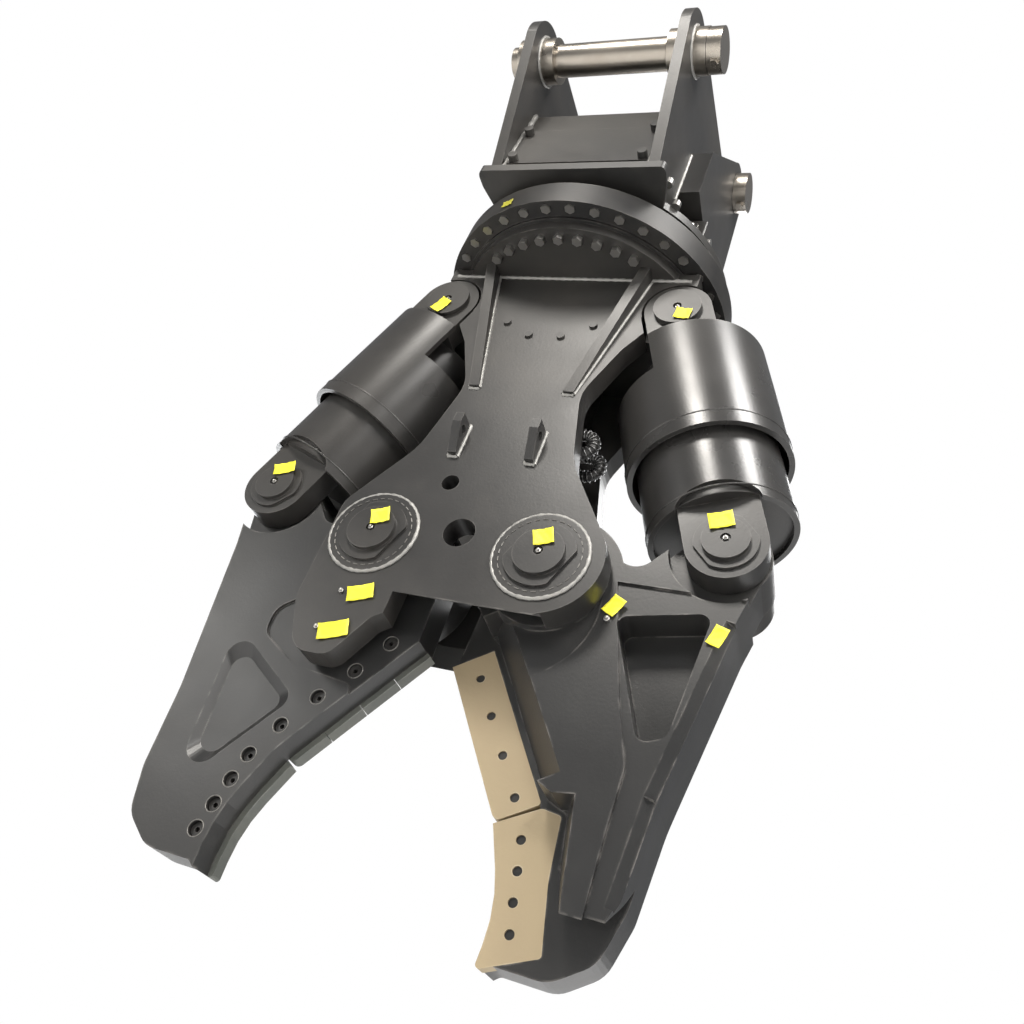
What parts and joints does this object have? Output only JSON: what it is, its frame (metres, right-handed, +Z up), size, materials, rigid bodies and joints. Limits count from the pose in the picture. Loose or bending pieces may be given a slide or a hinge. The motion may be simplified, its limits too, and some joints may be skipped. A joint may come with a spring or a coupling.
{
  "type": "excavator shear",
  "caption": "Hydraulic demolition shear for an excavator with a pin-on bracket, slewing ring, plated frame and independently driven jaws closed by guarded cylinders.",
  "frame": {"origin": "centre of the stick pin, midway between the stick bushes", "axes": "+X along the pins to the right, +Y from the stick pin towards the link pin, +Z up away from the jaws"},
  "size_m": [1.2508, 0.8549, 2.2117],
  "materials": {
    "paint": "satin dark grey paint",
    "dark_paint": "satin black paint",
    "bright_steel": "turned steel",
    "chrome": "hard chrome",
    "blade_steel": "primed blade steel, beige",
    "rubber": "hydraulic hose",
    "bearing": "bronze guide pad"
  },
  "bodies": {
    "bracket": {"base_plate": "paint", "ear_left": "paint", "ear_right": "paint", "front_wall": "paint", "rear_wall": "paint", "cover_plate": "paint", "cover_bolts": "dark_paint", "stick_bushes": "bright_steel", "link_bosses": "paint", "slew_ring_outer": "dark_paint", "outer_ring_bolts": "bright_steel", "slew_motor": "dark_paint", "rotary_joint": "dark_paint", "port_block": "bright_steel"},
    "stick_pin": {"stick_pin": "bright_steel", "stick_pin_lock": "bright_steel"},
    "link_pin": {"link_pin": "bright_steel", "link_pin_lock": "bright_steel"},
    "frame": {"slew_ring_inner": "dark_paint", "inner_ring_bolts": "bright_steel", "top_flange": "paint", "front_plate": "paint", "back_plate": "paint", "spine": "dark_paint", "cylinder_lugs": "paint", "ribs": "paint", "lifting_lugs": "paint", "face_screws": "dark_paint", "main_pins": "bright_steel", "pin_base_rings": "paint", "pin_caps": "paint", "frame_nipples": "bright_steel", "guide_pads": "bearing", "hoses": "rubber"},
    "barrel_left": {"barrel_left": "paint", "barrel_guard_left": "paint", "gland_left": "bright_steel", "upper_pin_left": "paint"},
    "rod_left": {"piston_rod_left": "chrome", "rod_fork_left": "paint", "rod_guard_left": "paint", "rod_pin_left": "paint"},
    "jaw_left": {"jaw_left": "paint", "upper_blade_left": "paint", "lower_blade_left": "paint", "blade_bolts_left": "dark_paint", "jaw_bush_left": "bright_steel"},
    "barrel_right": {"barrel_right": "paint", "barrel_guard_right": "paint", "gland_right": "bright_steel", "upper_pin_right": "paint"},
    "rod_right": {"piston_rod_right": "chrome", "rod_fork_right": "paint", "rod_guard_right": "paint", "rod_pin_right": "paint"},
    "jaw_right": {"jaw_right": "paint", "upper_blade_right": "blade_steel", "lower_blade_right": "blade_steel", "blade_bolts_right": "dark_paint", "jaw_bush_right": "bright_steel"}
  },
  "joints": [
    {"name": "slew", "type": "hinge", "parent": "bracket", "child": "frame", "pos_m": [0, 0.398, -0.5], "axis": [0, 0, 1], "continuous": true},
    {"name": "stick_pin_slide", "type": "slide", "parent": "bracket", "child": "stick_pin", "axis": [1, 0, 0], "range_m": [0, 0.82]},
    {"name": "link_pin_slide", "type": "slide", "parent": "bracket", "child": "link_pin", "axis": [1, 0, 0], "range_m": [0, 0.9]},
    {"name": "jaw_left_close", "type": "hinge", "parent": "frame", "child": "jaw_left", "pos_m": [-0.185, 0.398, -1.355], "axis": [0, -1, 0], "range_deg": [0, 28]},
    {"name": "barrel_left_swing", "type": "hinge", "parent": "frame", "child": "barrel_left", "pos_m": [-0.289, 0.398, -0.655], "axis": [0, -1, 0], "range_deg": [0, 3]},
    {"name": "rod_left_slide", "type": "slide", "parent": "barrel_left", "child": "rod_left", "axis": [-0.3582, 0, -0.9336], "range_m": [0, 0.167]},
    {"name": "jaw_right_close", "type": "hinge", "parent": "frame", "child": "jaw_right", "pos_m": [0.185, 0.398, -1.355], "axis": [0, 1, 0], "range_deg": [0, 28]},
    {"name": "barrel_right_swing", "type": "hinge", "parent": "frame", "child": "barrel_right", "pos_m": [0.289, 0.398, -0.655], "axis": [0, 1, 0], "range_deg": [0, 3]},
    {"name": "rod_right_slide", "type": "slide", "parent": "barrel_right", "child": "rod_right", "axis": [0.3582, 0, -0.9336], "range_m": [0, 0.167]}
  ],
  "couplings": [
    {"joint": "barrel_left_swing", "follows": "jaw_left_close", "ratio": 0.1035},
    {"joint": "rod_left_slide", "follows": "jaw_left_close", "m_per_rad": 0.33825},
    {"joint": "barrel_right_swing", "follows": "jaw_right_close", "ratio": 0.1035},
    {"joint": "rod_right_slide", "follows": "jaw_right_close", "m_per_rad": 0.33825}
  ]
}
